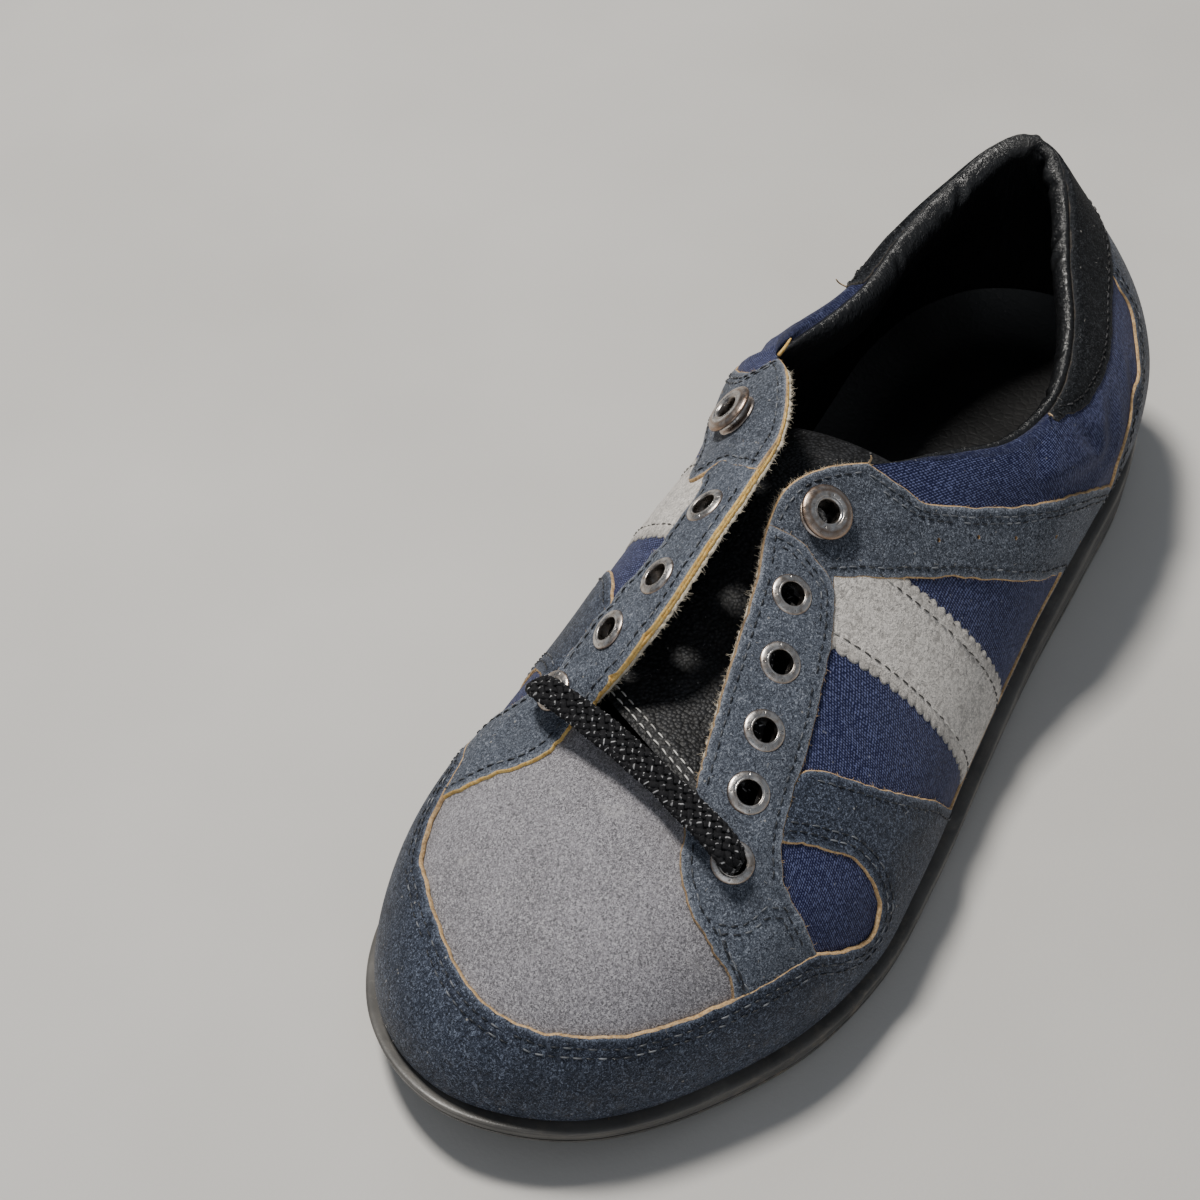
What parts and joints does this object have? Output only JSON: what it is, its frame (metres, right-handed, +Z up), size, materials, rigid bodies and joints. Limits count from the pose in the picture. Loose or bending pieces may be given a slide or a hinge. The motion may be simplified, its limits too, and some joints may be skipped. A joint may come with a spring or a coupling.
{
  "type": "worn out low-cut sneaker",
  "caption": "Worn low-cut left sneaker with a padded open collar, an open throat, metal eyelets, one bar of black lace and a low rubber sole.",
  "frame": {"origin": "centre of the shoe's box, on the floor under the sole", "axes": "+X to the toe, +Y to the outer side of the left foot, +Z up"},
  "size_m": [0.2922, 0.1087, 0.0905],
  "materials": {
    "sole_rubber": "satin grey rubber with a moulded line, scuffed",
    "footbed": "smooth coated black, creased and a little glossy",
    "upper_leather": "worn slate suede-leather overlays on navy textile and a grey nubuck toe, raw tan edges",
    "tongue_leather": "pebbled black leather",
    "nickel": "worn nickel plate",
    "black_braid": "braided black lace with pale flecks"
  },
  "bodies": {
    "root": {"outsole": "sole_rubber", "insole": "footbed", "upper": "upper_leather", "tongue": "tongue_leather", "eyelet_lateral_1": "nickel", "eyelet_lateral_2": "nickel", "eyelet_lateral_3": "nickel", "eyelet_lateral_4": "nickel", "eyelet_lateral_5": "nickel", "eyelet_medial_1": "nickel", "eyelet_medial_2": "nickel", "eyelet_medial_3": "nickel", "eyelet_medial_4": "nickel", "stud_lateral": "nickel", "stud_medial": "nickel", "lace_bar": "black_braid", "lace_end_medial": "black_braid", "lace_end_lateral": "black_braid"}
  },
  "joints": []
}
